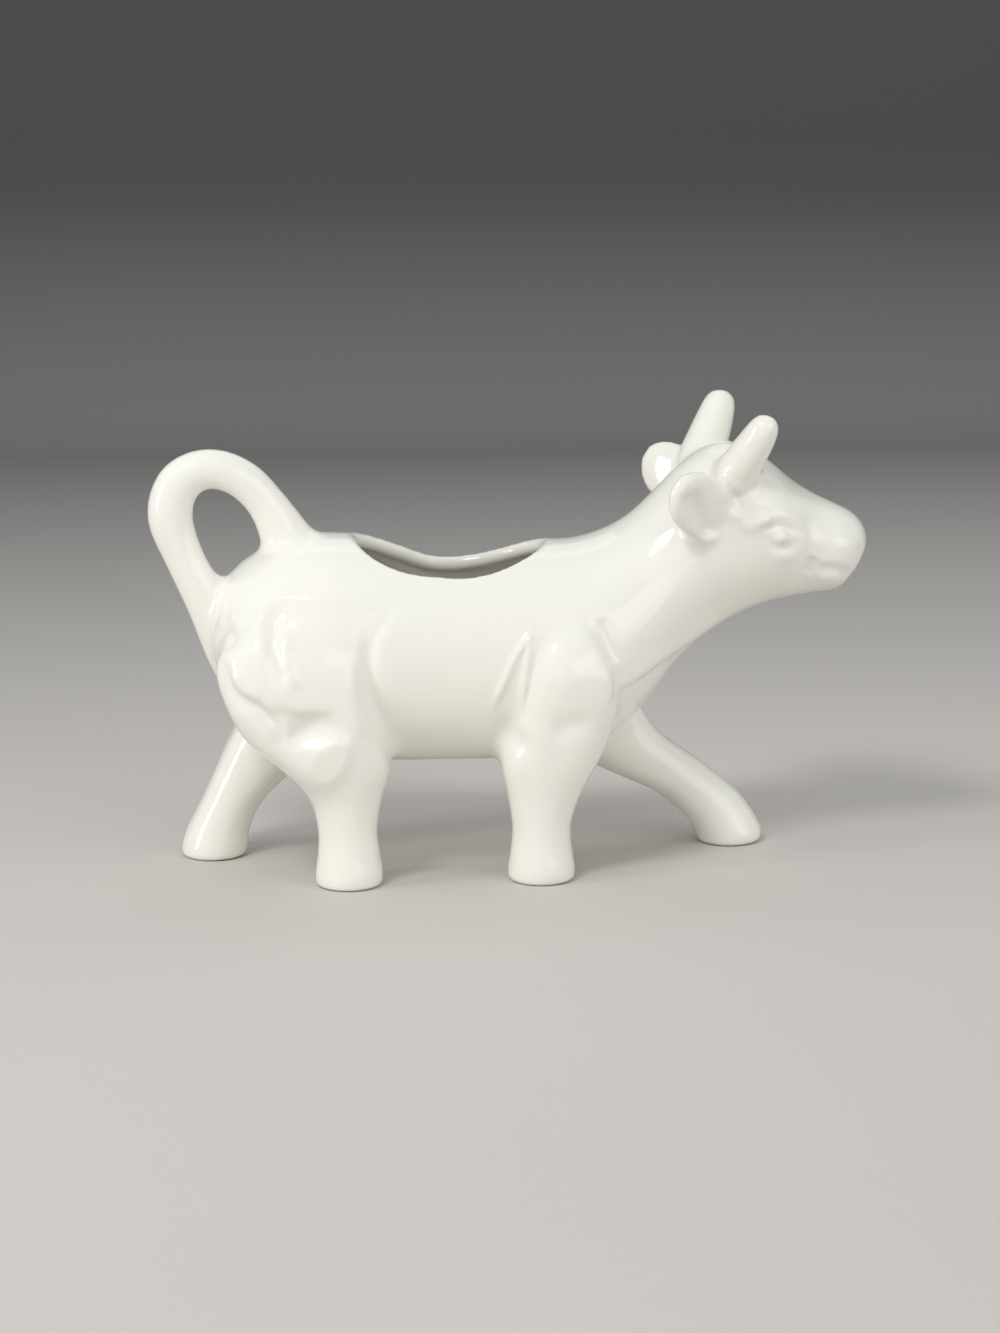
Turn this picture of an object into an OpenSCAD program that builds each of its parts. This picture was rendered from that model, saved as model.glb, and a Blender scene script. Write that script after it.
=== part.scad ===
// Cow creamer: a white glazed porcelain cream jug in the shape of a walking cow.
// X runs from the tail to the muzzle, Y to the cow's left, Z up. The origin lies on the table,
// under the middle of the jug's length. Lengths are in millimetres.

/* [Barrel] */
// Length of the trunk, from the rump to the withers
barrel_l = 80; // [74:0.5:86]
// Widest part of the trunk
barrel_w = 49; // [45:0.5:53]
// Height of the trunk, from belly to back
barrel_h = 53.4; // [50:0.2:57]
// Height of the belly above the table
belly_z = 25.8; // [23:0.2:29]
// Thickness of the cast wall
wall = 3; // [2.4:0.1:3.4]

/* [Filling opening] */
// Length of the opening in the back
fill_l = 44.8; // [40:0.2:47]
// Width of the opening in the back
fill_w = 34; // [28:0.5:37]

/* [Neck and head] */
// How far the neck carries the poll, the top of the head, forward of the withers
neck_reach = 36; // [32:0.5:40]
// How far the neck lifts the poll above the withers
neck_rise = 21.6; // [18:0.2:25]
// Length of the head, from the poll to the muzzle
head_l = 37; // [34:0.5:41]
// Height of the head at the poll
head_h = 41; // [38:0.5:44]
// Width of the head at the brow
head_w = 32; // [29:0.5:35]
// Width of the pouring hole in the mouth
spout_w = 8.6; // [7.6:0.1:9.4]
// Height of the pouring hole in the mouth
spout_h = 7; // [6.6:0.1:7.4]
// How far the eyes stand out of the head
eye_rise = 1.1; // [0.6:0.1:1.4]

/* [Legs] */
// Length of the haunch, from buttock to flank
haunch_l = 35.6; // [33:0.2:38]
// Length of the shoulder muscle
shoulder_l = 25; // [22:0.5:28]
// Thickness of the haunch and shoulder muscles across the jug
muscle_t = 20.4; // [19:0.2:21.8]
// Diameter of a leg below the knee
leg_d = 13.6; // [12:0.2:15]
// Diameter of a hoof
hoof_d = 15.6; // [14.4:0.2:17]
// Distance between the left and right feet, centre to centre
stance_w = 31; // [29:0.5:33]
// How far the left foreleg steps forward of its shoulder
fore_left_step = 43; // [38:0.5:46]
// How far the right foreleg steps back from its shoulder
fore_right_step = 6.5; // [3:0.5:9]
// How far the left hind leg steps back from its hip
hind_left_step = 17; // [13:0.5:19]
// How far the right hind leg steps forward of its hip
hind_right_step = 13.2; // [10:0.2:16]

/* [Tail handle] */
// How far the loop stands behind the rump
loop_back = 13.4; // [10:0.2:16]
// How far the loop rises above the back
loop_rise = 19.4; // [17:0.2:23]
// Thickness of the tail, seen from the side
tail_d = 10.4; // [9.4:0.1:11]
// Thickness of the tail, seen from behind
tail_w = 9.4; // [8.4:0.1:10.4]

/* [Horns and ears] */
// How far the horn tips stand above the poll
horn_rise = 8.2; // [6:0.2:11]
// Diameter of a horn where it leaves the head
horn_d = 9.8; // [8.8:0.2:10.4]
// Distance between the horn tips
horn_span = 40; // [37:0.5:44]
// How far behind the right horn the left one was set by hand
horn_left_back = 3.2; // [1:0.1:4]
// How much taller than the right horn the left one was made by hand
horn_left_extra = 2.1; // [1:0.1:2.6]
// How far above the tip of the right ear the left one's tip was set by hand
ear_left_up = 2.4; // [0:0.1:3]
// Distance between the ear tips
ear_span = 48; // [45:0.2:51]
// Width of an ear
ear_w = 14.2; // [12:0.2:15.4]
// Thickness of an ear
ear_t = 4.6; // [4:0.1:5.4]
// Depth of the cup in an ear
ear_cup = 2; // [1:0.1:2.4]

/* [Hidden] */
glaze = [0.93, 0.93, 0.89];

// The whole length runs from the back of the loop to the muzzle, and is centred on the origin
overall_l = loop_back + barrel_l + neck_reach + head_l;
rump_x = loop_back - overall_l / 2;
fill_mid_share = 0.6925;
fill_x = rump_x + fill_mid_share * barrel_l;
withers_share = 0.955;
withers = [rump_x + barrel_l, belly_z + withers_share * barrel_h];
chest = [withers[0], belly_z];
poll = withers + [neck_reach, neck_rise];
throat_share = 0.11;
throat = poll + [throat_share * head_l, -head_h];

// Each station of the body is a cross-section: x and z of its top, x and z of its bottom, its half
// width, and its egg, which is over 0 where the section is wider near the top
// Rump: top x, top z, bottom x, bottom z and half width, as shares of the barrel
rump_shares = [
    [0.0125, 0.687, 0.010, 0.472, 0.306],
    [0.0475, 0.796, 0.044, 0.331, 0.551],
    [0.1125, 0.893, 0.106, 0.182, 0.776],
    [0.218, 0.968, 0.218, 0.060, 0.930],
    [0.323, 0.997, 0.323, 0.010, 0.995],
];
// Back, under the opening: x along the opening, then top z, bottom z and half width of the barrel
back_shares = [
    [-0.5, 0.994, 0.006, 1.000],
    [-0.25, 0.981, 0.002, 0.992],
    [0, 0.970, 0, 0.984],
    [0.25, 0.961, -0.002, 0.980],
    [0.5, 0.955, 0.002, 0.976],
];
// Neck: top x and z from withers to poll, bottom x and z from chest to throat, then the width from
// barrel to head, and the egg
neck_shares = [
    [0.125, 0.009, 0.205, 0.070, 0.141, 0],
    [0.306, 0.093, 0.400, 0.240, 0.365, -0.03],
    [0.472, 0.241, 0.550, 0.462, 0.682, -0.05],
    [0.633, 0.486, 0.680, 0.672, 0.906, -0.04],
    [0.797, 0.773, 0.828, 0.850, 1.020, 0],
    [1, 1, 1, 1, 1.060, 0.06],
];
// Head: top x and z, bottom x and z from the poll, then the half width and the egg
head_shares = [
    [0.176, -0.005, 0.270, 0.932, 1, 0.12],
    [0.351, 0.083, 0.405, 0.893, 0.975, 0.12],
    [0.514, 0.205, 0.535, 0.871, 0.838, 0.08],
    [0.662, 0.288, 0.650, 0.856, 0.715, 0.04],
    [0.797, 0.346, 0.745, 0.846, 0.700, 0],
    [0.908, 0.398, 0.800, 0.838, 0.640, 0],
    [0.981, 0.473, 0.832, 0.820, 0.510, 0],
    [0.998, 0.552, 0.853, 0.797, 0.375, 0],
];
// Middle of the pouring hole from the poll, and the way up its plane
mouth_shares = [0.911, 0.695];
mouth_up_shares = unit([0.5, 0.87]);

rump_end_share = 0.585;
rump_end = [rump_x, 0, belly_z + rump_end_share * barrel_h];
mouth = poll + [mouth_shares[0] * head_l, -mouth_shares[1] * head_h];

stations = concat(
    [for (s = rump_shares) [
        rump_x + s[0] * barrel_l, belly_z + s[1] * barrel_h,
        rump_x + s[2] * barrel_l, belly_z + s[3] * barrel_h,
        s[4] * barrel_w / 2, 0
    ]],
    [for (s = back_shares) [
        fill_x + s[0] * fill_l, belly_z + s[1] * barrel_h,
        fill_x + s[0] * fill_l, belly_z + s[2] * barrel_h,
        s[3] * barrel_w / 2, 0
    ]],
    [for (s = neck_shares) [
        withers[0] + s[0] * neck_reach, withers[1] + s[1] * neck_rise,
        mix(chest[0], throat[0], s[2]), mix(chest[1], throat[1], s[3]),
        mix(barrel_w / 2, head_w / 2, s[4]), s[5]
    ]],
    [for (s = head_shares) [
        poll[0] + s[0] * head_l, poll[1] - s[1] * head_h,
        poll[0] + s[2] * head_l, poll[1] - s[3] * head_h,
        s[4] * head_w / 2, s[5]
    ]],
    [concat(mouth + mouth_up_shares * spout_h / 2, mouth - mouth_up_shares * spout_h / 2, [spout_w / 2, 0])]
);

// Places along the body count stations from 0 at the rump
fill_start = len(rump_shares);
fill_end = fill_start + len(back_shares) - 1;
joint_place = fill_end + 3;
brow_place = fill_end + len(neck_shares) + 1;
cheek_place = brow_place + 3;
mouth_place = len(stations) - 1;
cols = 40;
fill_steps = 16;
rump_places = [for (i = [0:2 * fill_start - 1]) i / 2];
fill_places = [for (i = [0:fill_steps]) mix(fill_start, fill_end, (1 - cos(180 * i / fill_steps)) / 2)];
neck_places = [for (i = [1:2 * (brow_place - fill_end)]) fill_end + i / 2];
face_places = [for (i = [1:4 * (cheek_place - brow_place)]) brow_place + i / 4];
muzzle_places = [for (i = [1:2 * (mouth_place - cheek_place)]) cheek_place + i / 2];
places = concat(rump_places, fill_places, neck_places, face_places, muzzle_places);
first_fill = len(rump_places);
last_fill = first_fill + fill_steps;
joint_ring = last_fill + 2 * (joint_place - fill_end);
last_ring = len(places) - 1;

function mix(a, b, share) = a + (b - a) * share;
function unit(v) = v / norm(v);

// A smooth curve through the items of a list, at a place that counts the items from 0
function curve(list, place) =
    let (
        last = len(list) - 1,
        i = min(floor(place), last - 1),
        t = place - i,
        p1 = list[i],
        p2 = list[i + 1],
        p0 = i > 0 ? list[i - 1] : 2 * p1 - p2,
        p3 = i + 1 < last ? list[i + 2] : 2 * p2 - p1
    )
    p1 + t * (p2 - p0 + t * (2 * p0 - 5 * p1 + 4 * p2 - p3 + t * (3 * (p1 - p2) + p3 - p0))) / 2;

// Half the width of the opening where a section crosses it. It was cut by hand as an oval, with its
// rear corner squarer on the right and slighter on the left
oval_power = 2;
full_corner_power = 3;
slight_corner_power = 1.6;
function lip(x, corner_power) =
    let (
        along = (x - fill_x) / (fill_l / 2),
        power = along < 0 ? corner_power : oval_power
    )
    fill_w / 2 * pow(max(0, 1 - pow(abs(along), power)), 1 / power);

// One section, from the left lip of the opening round the belly to the right one, or right round
// from the top where there are no gaps
function section(s, left_gap, right_gap) =
    let (
        start = asin(min(1, left_gap / s[4])),
        stop = 360 - asin(min(1, right_gap / s[4]))
    )
    [for (j = [0:cols])
        let (
            a = mix(start, stop, j / cols),
            up = (1 + cos(a)) / 2
        )
        [mix(s[2], s[0], up), s[4] * sin(a) * (1 + s[5] * cos(a)), mix(s[3], s[1], up)]
    ];

function is_open(i) = i > first_fill && i < last_fill;

bare = [for (i = [0:last_ring])
    let (s = curve(stations, places[i]))
    is_open(i)
        ? section(s, lip(s[0], slight_corner_power), lip(s[0], full_corner_power))
        : section(s, 0, 0)
];

function ring_step(j, closed) = closed ? (j + cols) % cols : max(0, min(cols, j));
function seam_point(i, j, closed) = closed && j % cols == 0 ? (bare[i][0] + bare[i][cols]) / 2 : bare[i][j];
function outward(i, j) =
    let (
        closed = !is_open(i),
        along = seam_point(min(i + 1, last_ring), j, closed) - seam_point(max(i - 1, 0), j, closed),
        round = bare[i][ring_step(j + 1, closed)] - bare[i][ring_step(j - 1, closed)]
    )
    unit(cross(along, round));

// The inside follows the outside one wall deeper, and the opening is cut straight down
inside = [for (i = [0:last_ring])
    [for (j = [0:cols])
        let (n = outward(i, j))
        is_open(i) && (j == 0 || j == cols)
            ? bare[i][j] - [0, 0, wall / n[2]]
            : bare[i][j] - wall * n
    ]
];

// Relief of the head, which is eye, brow, temple, cheek, hollow before the muzzle, and nostril:
// place along the body, share of the way round from the top, height in eye heights, and radius in
// shares of the head's width
relief_shares = [
    [17.05, 0.25, 1, 0.09],
    [16.9, 0.185, 0.8, 0.14],
    [16.2, 0.26, -0.6, 0.13],
    [16.6, 0.37, 0.8, 0.22],
    [18.7, 0.25, -0.9, 0.14],
    [21, 0.2, 0.5, 0.14],
];
function side_spot(place, share) =
    let (s = curve(stations, place), a = 360 * share, up = (1 + cos(a)) / 2)
    [mix(s[2], s[0], up), s[4] * sin(a) * (1 + s[5] * cos(a)), mix(s[3], s[1], up)];
spots = [for (r = relief_shares) side_spot(r[0], r[1])];
function swell(p) = [for (k = [0:len(spots) - 1])
    let (d = norm([p[0], abs(p[1]), p[2]] - spots[k]) / (relief_shares[k][3] * head_w))
    relief_shares[k][2] * eye_rise * exp(-d * d)
] * [for (r = relief_shares) 1];
outside = [for (i = [0:last_ring])
    [for (j = [0:cols])
        i <= joint_ring || i == last_ring ? bare[i][j] : bare[i][j] + swell(bare[i][j]) * outward(i, j)
    ]
];

function flat(rows) = [for (row = rows) each row];

// Two faces between an edge and the next one, turned over where the outside is on the other side
function strip(a, b, turn = false) = turn
    ? [[a[0], b[1], a[1]], [a[0], b[0], b[1]]]
    : [[a[0], a[1], b[1]], [a[0], b[1], b[0]]];

// Faces of the skin between two rings of a grid that starts at a point number
function skin(rings, start, turn) = [for (i = [0:rings - 2])
    for (j = [0:cols - 1])
        let (k = start + i * (cols + 1) + j)
        each strip([k, k + 1], [k + cols + 1, k + cols + 2], turn)
];

// Faces that join an outer ring to an inner one
function edge_band(outer, inner, turn) = [for (j = [0:cols - 1])
    each strip([outer + j, outer + j + 1], [inner + j, inner + j + 1], turn)
];

module barrel_shell() {
    rings = joint_ring + 1;
    size = rings * (cols + 1);
    points = concat(
        flat([for (i = [0:joint_ring]) outside[i]]),
        flat([for (i = [0:joint_ring]) inside[i]]),
        [rump_end, rump_end + [wall, 0, 0]]
    );
    faces = concat(
        skin(rings, 0, false),
        skin(rings, size, true),
        edge_band(size - cols - 1, 2 * size - cols - 1, false),
        [for (j = [0:cols - 1]) [2 * size, j + 1, j]],
        [for (j = [0:cols - 1]) [2 * size + 1, size + j, size + j + 1]],
        [for (i = [first_fill:last_fill - 1])
            let (a = i * (cols + 1), b = a + cols + 1)
            each strip([a, b], [a + size, b + size], false)
        ],
        [for (i = [first_fill:last_fill - 1])
            let (a = i * (cols + 1) + cols, b = a + cols + 1)
            each strip([a, b], [a + size, b + size], true)
        ]
    );
    color(glaze) polyhedron(points, faces);
}

module neck_and_head_shell() {
    rings = last_ring - joint_ring + 1;
    size = rings * (cols + 1);
    points = concat(
        flat([for (i = [joint_ring:last_ring]) outside[i]]),
        flat([for (i = [joint_ring:last_ring]) inside[i]])
    );
    faces = concat(
        skin(rings, 0, false),
        skin(rings, size, true),
        edge_band(0, size, true),
        edge_band(size - cols - 1, 2 * size - cols - 1, false)
    );
    color(glaze) polyhedron(points, faces);
}

// The outside of the body as a filled solid, which legs, tail, horns and ears are fitted against
module body_solid(first, last) {
    size = (last - first + 1) * (cols + 1);
    points = concat(
        flat([for (i = [first:last]) outside[i]]),
        [middle(outside[first]), middle(outside[last])]
    );
    faces = concat(
        skin(last - first + 1, 0, false),
        [for (i = [max(first, first_fill):min(last, last_fill) - 1])
            let (a = (i - first) * (cols + 1), b = a + cols + 1)
            each strip([a + cols, a], [b + cols, b])
        ],
        [for (j = [0:cols - 1]) [size, j + 1, j]],
        [for (j = [0:cols - 1]) [size + 1, size - cols - 1 + j, size - cols + j]]
    );
    polyhedron(points, faces);
}
function middle(ring) = (ring[0] + ring[cols / 2]) / 2;

// A solid through a list of rings of equal length, closed flat at both ends
module skinned(rings) {
    n = len(rings[0]);
    size = n * len(rings);
    faces = concat(
        [for (i = [0:len(rings) - 2])
            for (j = [0:n - 1])
                let (a = i * n + j, b = i * n + (j + 1) % n)
                each strip([a, b], [a + n, b + n])
        ],
        [[for (j = [n - 1:-1:0]) j]],
        [[for (j = [0:n - 1]) size - n + j]]
    );
    polyhedron(flat(rings), faces);
}

// A list of stations made smooth, with some rings to each station
function smooth(list, steps) = [for (i = [0:steps * (len(list) - 1)]) curve(list, i / steps)];

// Legs, built on the left: share of the hip's height, then how far each measure goes from the leg's
// to the muscle's: length and thickness, then how far to the hoof's, and the set inwards
hip_share = 0.75;
hip_z = belly_z + hip_share * barrel_h;
haunch_shares = [
    [0.985, -0.08, -1.19, 0, -0.071],
    [0.925, 0.66, 0.30, 0, -0.020],
    [0.800, 1, 0.88, 0, 0.014],
    [0.653, 0.94, 1, 0, 0.020],
    [0.516, 0.72, 0.88, 0, 0.014],
    [0.410, 0.42, 0.62, 0, 0.008],
    [0.304, 0.124, 0.19, 0, 0.002],
    [0.197, 0, 0, 0, 0],
    [0.106, 0.010, 0.02, 0.3, 0],
    [0.038, 0, 0, 1, 0],
    [0, 0, 0, 0.75, 0],
];
shoulder_shares = [
    [0.985, -0.14, -1.15, 0, -0.080],
    [0.925, 0.29, 0.32, 0, -0.030],
    [0.805, 0.82, 0.88, 0, 0.002],
    [0.668, 1, 1, 0, 0.010],
    [0.531, 0.80, 0.75, 0, 0.010],
    [0.417, 0.70, 0.50, 0, 0.006],
    [0.304, 0.28, 0.15, 0, 0.002],
    [0.197, 0, 0, 0, 0],
    [0.106, 0.010, 0.02, 0.3, 0],
    [0.038, 0, 0, 1, 0],
    [0, 0, 0, 0.75, 0],
];
// How much of its step each leg has taken, from the hip down
hind_left_shares = [-0.28, -0.19, -0.10, -0.25, -0.26, 0.03, 0.43, 0.74, 0.92, 0.98, 1];
hind_right_shares = [0.36, 0.25, 0.12, 0.22, 0.46, 0.80, 0.95, 0.98, 1, 1, 1];
fore_left_shares = [0.05, 0.03, 0.02, 0.05, 0.19, 0.28, 0.53, 0.80, 0.94, 1, 1];
fore_right_shares = [0, 0, 0, 0.08, 0.38, 0.72, 0.92, 1, 1, 1, 1];
hip_x_share = 0.219;
hip_x = rump_x + hip_x_share * barrel_l;
shoulder_x_share = 1.019;
shoulder_x = rump_x + shoulder_x_share * barrel_l;
leg_sides = 24;
muscle_square_share = 0.66;
// A leaning leg is cut level by its rings, so they are longer, in front more than behind
fore_lean_power = 0.75;
hind_lean_power = 0.5;

// Centre x, centre y, height, half length, half thickness and roundness of each ring of a leg
function leg_stations(rows, x, step, steps, muscle_l, lean_power) = [for (k = [0:len(rows) - 1])
    let (
        row = rows[k],
        above = max(k - 1, 0),
        below = min(k + 1, len(rows) - 1),
        run = step * (steps[below] - steps[above]),
        drop = hip_z * (rows[above][0] - rows[below][0]),
        lean = pow(norm([run, drop]) / drop, lean_power),
        hoof = row[3] * (hoof_d - leg_d) / 2
    )
    [
        x + step * steps[k],
        stance_w / 2 + row[4] * barrel_w,
        hip_z * row[0],
        lean * mix(leg_d, muscle_l, row[1]) / 2 + hoof,
        mix(leg_d, muscle_t, row[2]) / 2 + hoof,
        mix(1, muscle_square_share, max(0, row[2]))
    ]
];
function rounded(v, power) = sign(v) * pow(abs(v), power);

module leg(rows, x, step, steps, muscle_l, lean_power) {
    color(glaze) difference() {
        skinned([for (s = smooth(leg_stations(rows, x, step, steps, muscle_l, lean_power), 2))
            [for (j = [0:leg_sides - 1])
                let (a = 360 * j / leg_sides, x = rounded(cos(a), s[5]), y = rounded(sin(a), s[5]))
                [s[0] + s[3] * x, s[1] + s[4] * y, s[2]]
            ]
        ]);
        body_solid(0, joint_ring);
    }
}

module foreleg_left() {
    leg(shoulder_shares, shoulder_x, fore_left_step, fore_left_shares, shoulder_l, fore_lean_power);
}

module foreleg_right() {
    mirrored()
        leg(shoulder_shares, shoulder_x, -fore_right_step, fore_right_shares, shoulder_l, fore_lean_power);
}

module hindleg_left() {
    leg(haunch_shares, hip_x, -hind_left_step, hind_left_shares, haunch_l, hind_lean_power);
}

module hindleg_right() {
    mirrored() leg(haunch_shares, hip_x, hind_right_step, hind_right_shares, haunch_l, hind_lean_power);
}

module mirrored() {
    mirror([0, 1, 0]) children();
}

// Rings along a path of [centre, half width, half thickness], with the flat of the section facing
// one way and its edges bent towards that way by a depth
function swept(stations, facing, sides, bend) = [for (i = [0:len(stations) - 1])
    let (
        s = stations[i],
        along = unit(stations[min(i + 1, len(stations) - 1)][0] - stations[max(i - 1, 0)][0]),
        across = unit(cross(facing, along)),
        deep = cross(across, along)
    )
    [for (j = [0:sides - 1])
        let (a = 360 * j / sides)
        s[0] + s[1] * cos(a) * across + (s[2] * sin(a) - bend * s[3] * pow(cos(a), 2)) * deep
    ]
];

// Tail: places of its centre line, as shares of the room from the back of the loop to the root and
// from the lower end to the top, and its thickness
tail_shares = [
    [0.540, -0.156, 0.84],
    [0.432, 0, 0.88],
    [0.358, 0.121, 0.92],
    [0.247, 0.342, 0.94],
    [0.093, 0.575, 0.87],
    [0.001, 0.775, 0.99],
    [0.045, 0.925, 0.97],
    [0.175, 1.002, 0.90],
    [0.340, 1.010, 0.87],
    [0.508, 0.955, 0.86],
    [0.648, 0.850, 0.88],
    [0.762, 0.715, 1.10],
    [0.856, 0.560, 1.42],
    [0.95, 0.407, 1.5],
];
tail_root_share = 0.3125;
tail_low_share = 0.4;
tail_back = rump_x - loop_back + tail_d / 2;
tail_root = rump_x + tail_root_share * barrel_l;
tail_low = belly_z + tail_low_share * barrel_h;
tail_top = belly_z + barrel_h + loop_rise - tail_d / 2;
tail_sides = 16;
module tail_handle() {
    path = smooth([for (s = tail_shares) [
        mix(tail_back, tail_root, s[0]), mix(tail_low, tail_top, s[1]), s[2]
    ]], 3);
    last = len(path) - 1;
    color(glaze) difference() {
        skinned([for (i = [0:last])
            let (
                s = path[i],
                step = path[min(i + 1, last)] - path[max(i - 1, 0)],
                out = unit([-step[1], 0, step[0]]) * s[2] * tail_d / 2
            )
            [for (j = [0:tail_sides - 1])
                let (a = 360 * j / tail_sides)
                [s[0], 0, s[1]] + cos(a) * out + [0, sin(a) * s[2] * tail_w / 2, 0]
            ]
        ]);
        body_solid(0, joint_ring);
    }
}

// Horns and ears, built on the left. Horn: x from the poll in head lengths, then the share of the
// half span, the share of the way from the root to the tip's height, and the thickness
horn_shares = [
    [0.060, 0.42, 0, 1.00],
    [0.097, 0.58, 0.24, 1.02],
    [0.151, 0.72, 0.47, 0.92],
    [0.202, 0.84, 0.68, 0.82],
    [0.241, 0.93, 0.86, 0.70],
    [0.258, 0.98, 0.95, 0.50],
    [0.265, 1, 1, 0.18],
];
horn_root_share = 0.25;
horn_low = poll[1] - horn_root_share * head_h;
// A horn that is set back is set back further at its root than at its tip
horn_root_back = 1.2;
// A taller horn is thicker too, by this share of what it is taller
horn_thicker_share = 0.5;
horn_sides = 14;
module horn_solid(back, extra) {
    tip = poll[1] + horn_rise + extra;
    thick = (horn_d + horn_thicker_share * extra) / 2;
    stations = [for (s = horn_shares) [
        [
            poll[0] + s[0] * head_l - back * mix(horn_root_back, 1, s[2]),
            s[1] * horn_span / 2,
            mix(horn_low, tip, s[2])
        ],
        s[3] * thick,
        s[3] * thick,
        0
    ]];
    skinned(swept(smooth(stations, 2), [1, 0, 0], horn_sides, 0));
}

module horn(back, extra) {
    color(glaze) difference() {
        horn_solid(back, extra);
        body_solid(joint_ring, last_ring);
    }
}

module horn_left() {
    horn(horn_left_back, horn_left_extra);
}

module horn_right() {
    mirrored() horn(0, 0);
}

// Ear: x from the poll in head lengths, share of the half span, drop below the poll in head heights,
// half width, half thickness and depth of the cup
ear_shares = [
    [0.03, 0.44, 0.465, 0.64, 0.9, 0],
    [-0.043, 0.583, 0.402, 0.86, 1, 0.5],
    [-0.149, 0.729, 0.300, 1, 1, 1],
    [-0.243, 0.854, 0.235, 0.92, 0.9, 1],
    [-0.305, 0.950, 0.192, 0.62, 0.7, 0.5],
    [-0.334, 1, 0.174, 0.24, 0.35, 0],
];
ear_facing = [0.64, 0.74, -0.2];
// The way the tip of an ear is lifted, which follows the slope of the poll
poll_slope = [0.6, 0, 1];
ear_sides = 18;
// An ear seats on the head and against its horn
module ear(up, horn_back, horn_extra) {
    stations = [for (s = ear_shares) [
        [poll[0] + s[0] * head_l, s[1] * ear_span / 2, poll[1] - s[2] * head_h] + s[1] * up * poll_slope,
        s[3] * ear_w / 2,
        s[4] * ear_t / 2,
        s[5]
    ]];
    color(glaze) difference() {
        skinned(swept(smooth(stations, 2), ear_facing, ear_sides, ear_cup));
        body_solid(joint_ring, last_ring);
        horn_solid(horn_back, horn_extra);
    }
}

module ear_left() {
    ear(ear_left_up, horn_left_back, horn_left_extra);
}

module ear_right() {
    mirrored() ear(0, 0, 0);
}

barrel_shell();
neck_and_head_shell();
foreleg_left();
foreleg_right();
hindleg_left();
hindleg_right();
tail_handle();
horn_left();
horn_right();
ear_left();
ear_right();
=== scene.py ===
# %% [markdown]
# # A cow creamer in white porcelain
# The real object is a small cream jug in the shape of a walking cow. A potter casts the trunk, the
# neck and head, the four legs, the tail, the horns and the ears in plaster moulds, luts them together
# with slip while the clay is leather hard, softens every joint with a wet sponge, and fires and glazes
# the lot. The CAD model has the same eleven pieces. Here each one gets the soft joints, the modelled
# muscles and the glassy glaze that the plain solids lack.

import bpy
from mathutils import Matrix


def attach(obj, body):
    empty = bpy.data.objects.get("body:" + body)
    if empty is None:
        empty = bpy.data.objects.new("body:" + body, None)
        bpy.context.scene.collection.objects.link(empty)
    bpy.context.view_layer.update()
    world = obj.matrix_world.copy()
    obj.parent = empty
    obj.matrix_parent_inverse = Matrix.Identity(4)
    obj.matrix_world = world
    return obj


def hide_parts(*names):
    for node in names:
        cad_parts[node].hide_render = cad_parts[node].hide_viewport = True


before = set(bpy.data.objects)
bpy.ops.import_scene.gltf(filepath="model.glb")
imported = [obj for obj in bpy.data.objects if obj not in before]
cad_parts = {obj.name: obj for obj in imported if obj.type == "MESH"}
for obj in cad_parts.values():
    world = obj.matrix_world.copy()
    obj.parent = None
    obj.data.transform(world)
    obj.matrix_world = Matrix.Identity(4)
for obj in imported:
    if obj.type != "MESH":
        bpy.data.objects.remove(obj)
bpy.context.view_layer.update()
print("CAD pieces:", ", ".join(sorted(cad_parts)))

# %% Bring in the tools
import math

import bmesh
import bpy
import numpy as np
from mathutils import Matrix, Vector
from mathutils.bvhtree import BVHTree

MM = 0.001
scene = bpy.context.scene


def new_object(name, data):
    """A new object of the scene."""
    obj = bpy.data.objects.new(name, data)
    scene.collection.objects.link(obj)
    return obj


print("Blender", bpy.app.version_string)

# %% [markdown]
# ## The camera
# The photograph looks at the cow's right flank from a little above, turned slightly towards its head.
# An empty could aim the camera, but a place and a direction are plainer. It comes first, because the
# muscles are later drawn on the clay where the photograph shows them.

# %% Set up the camera
IMAGE_WIDTH, IMAGE_HEIGHT = 1000, 1333
camera_data = bpy.data.cameras.new("camera")
camera = new_object("camera", camera_data)
camera_data.sensor_width = 36
camera_data.lens = 81.0
camera.location = (-0.08, -0.6794, 0.1799)
view_direction = Vector((0.1111, 0.9753, -0.1908))
camera.rotation_euler = view_direction.to_track_quat("-Z", "Y").to_euler()
scene.camera = camera
bpy.context.view_layer.update()


def photo_places(points):
    """Where points of the jug, in millimetres, fall on the photograph, in its pixels."""
    eye = np.array(camera.matrix_world.inverted())
    seen = (points * MM) @ eye[:3, :3].T + eye[:3, 3]
    scale = camera_data.lens / camera_data.sensor_width * IMAGE_HEIGHT
    across = IMAGE_WIDTH / 2 - scale * seen[:, 0] / seen[:, 2]
    down = IMAGE_HEIGHT / 2 + scale * seen[:, 1] / seen[:, 2]
    return np.stack([across, down], axis=1)


print("The middle of the jug falls on pixel", photo_places(np.zeros((1, 3))).round(1))

# %% [markdown]
# ## Sections of clay
# Every piece of the animal is a tube whose section changes on the way: round in the neck, tall in the
# trunk, flat in the ear. It could be pulled from a subdivided box, but a run of measured sections
# keeps the outline where the CAD model has it. A circle is extruded again and again, and then each
# ring is moved onto its own section. The work is done in millimetres.

# %% Helpers for smooth runs of numbers


def mix(a, b, share):
    """The value a share of the way from a to b."""
    return a + (b - a) * share


def smooth_row(rows, place):
    """One row between the rows of a table, on a smooth curve through them."""
    rows = np.asarray(rows, float)
    i = min(int(place), len(rows) - 2)
    t = place - i
    p1, p2 = rows[i], rows[i + 1]
    p0 = rows[i - 1] if i > 0 else 2 * p1 - p2
    p3 = rows[i + 2] if i + 2 < len(rows) else 2 * p2 - p1
    cubic = 3 * (p1 - p2) + p3 - p0
    bent = p1 + t * (p2 - p0 + t * (2 * p0 - 5 * p1 + 4 * p2 - p3 + t * cubic)) / 2
    return tuple(bent.tolist())


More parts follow.
